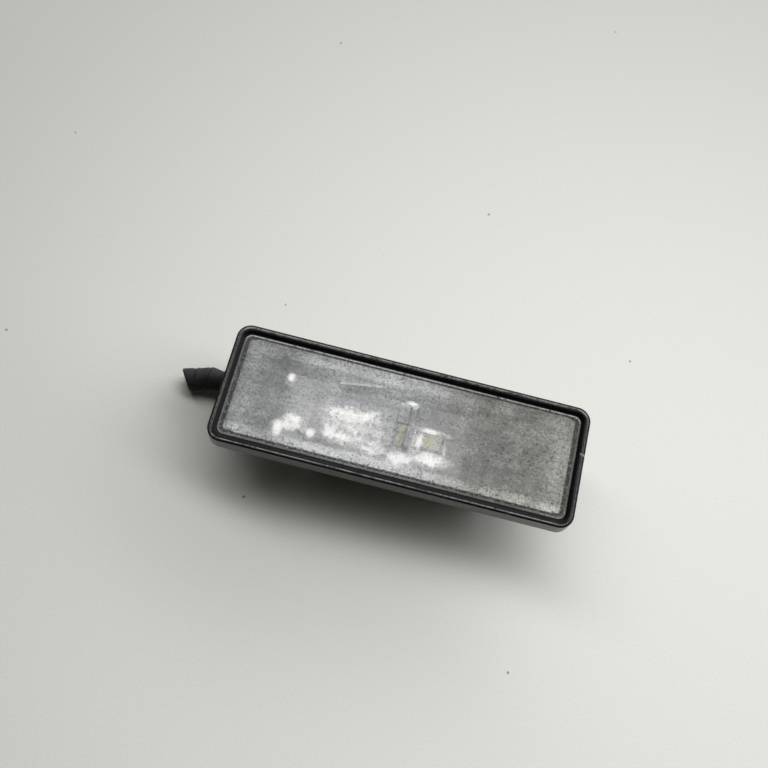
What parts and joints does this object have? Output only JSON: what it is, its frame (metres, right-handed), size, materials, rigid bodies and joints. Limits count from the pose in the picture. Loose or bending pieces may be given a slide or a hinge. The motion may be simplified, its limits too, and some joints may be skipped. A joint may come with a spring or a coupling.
{
  "type": "number plate lamp",
  "caption": "Slim rectangular car lamp that lights the number plate: framed clear lens over a reflector and board, black housing with hook and spring clip, plug and taped lead.",
  "frame": {"origin": "under the middle of the frame, on the surface that the lamp's back lies on", "axes": "+X along the lamp, away from the lead; +Y across it; +Z out of the lens"},
  "size_m": [0.0874, 0.0264, 0.016],
  "materials": {
    "housing": "fine-grained black moulding, scuffed edges",
    "lens": "clear moulding, hazed and scratched",
    "reflector": "pale satin moulding",
    "board": "white solder mask",
    "led_package": "white moulding",
    "phosphor": "yellow silicone",
    "chip": "black component body",
    "can": "drawn can, matte",
    "contact": "tinned contact metal",
    "solder": "bright solder",
    "gasket": "closed-cell foam rubber",
    "spring": "bare spring steel",
    "membrane": "white breathing film",
    "plug": "dark grey moulding",
    "plug_seal": "orange silicone",
    "wire_red": "red insulation",
    "wire_black": "black insulation",
    "wire_seal": "blue silicone",
    "tape": "woven cloth tape"
  },
  "bodies": {
    "root": {"housing": "housing", "lens": "lens", "reflector": "reflector", "circuit_board": "board", "led_main_package": "led_package", "led_main_phosphor": "phosphor", "led_side_package": "led_package", "led_side_phosphor": "phosphor", "resistor_1": "chip", "resistor_2": "chip", "resistor_3": "chip", "protection_diode": "chip", "capacitor": "can", "pin_plus": "contact", "pin_minus": "contact", "solder_plus": "solder", "solder_minus": "solder", "gasket": "gasket", "spring_clip": "spring", "vent_membrane": "membrane", "plug_body": "plug", "plug_seal": "plug_seal", "contact_plus": "contact", "contact_minus": "contact", "wire_plus": "wire_red", "wire_minus": "wire_black", "wire_seal_plus": "wire_seal", "wire_seal_minus": "wire_seal", "taped_lead": "tape"}
  },
  "joints": []
}
